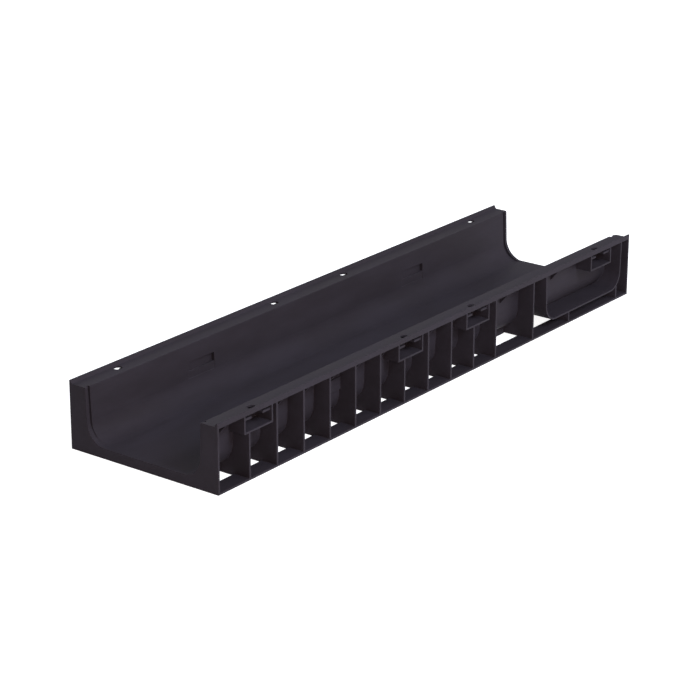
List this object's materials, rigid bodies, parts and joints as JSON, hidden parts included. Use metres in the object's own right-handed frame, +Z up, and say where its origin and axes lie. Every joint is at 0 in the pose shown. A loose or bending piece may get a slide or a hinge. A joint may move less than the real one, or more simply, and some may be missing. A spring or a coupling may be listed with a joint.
{
  "type": "drainage channel",
  "caption": "Shallow moulded plastic drainage channel body, open at both ends, with a ribbed outside, side outlet frames and slotted lock pockets under the grating seat.",
  "frame": {"origin": "middle of the base, level with the underside of the foot strips", "axes": "+X along the channel from the grooved end to the end with the side outlets, +Y across it, +Z up, out of the trough"},
  "size_m": [1, 0.258, 0.099],
  "materials": {
    "black_polypropylene": "moulded, satin"
  },
  "bodies": {
    "root": {"channel_body": "black_polypropylene"}
  },
  "joints": []
}
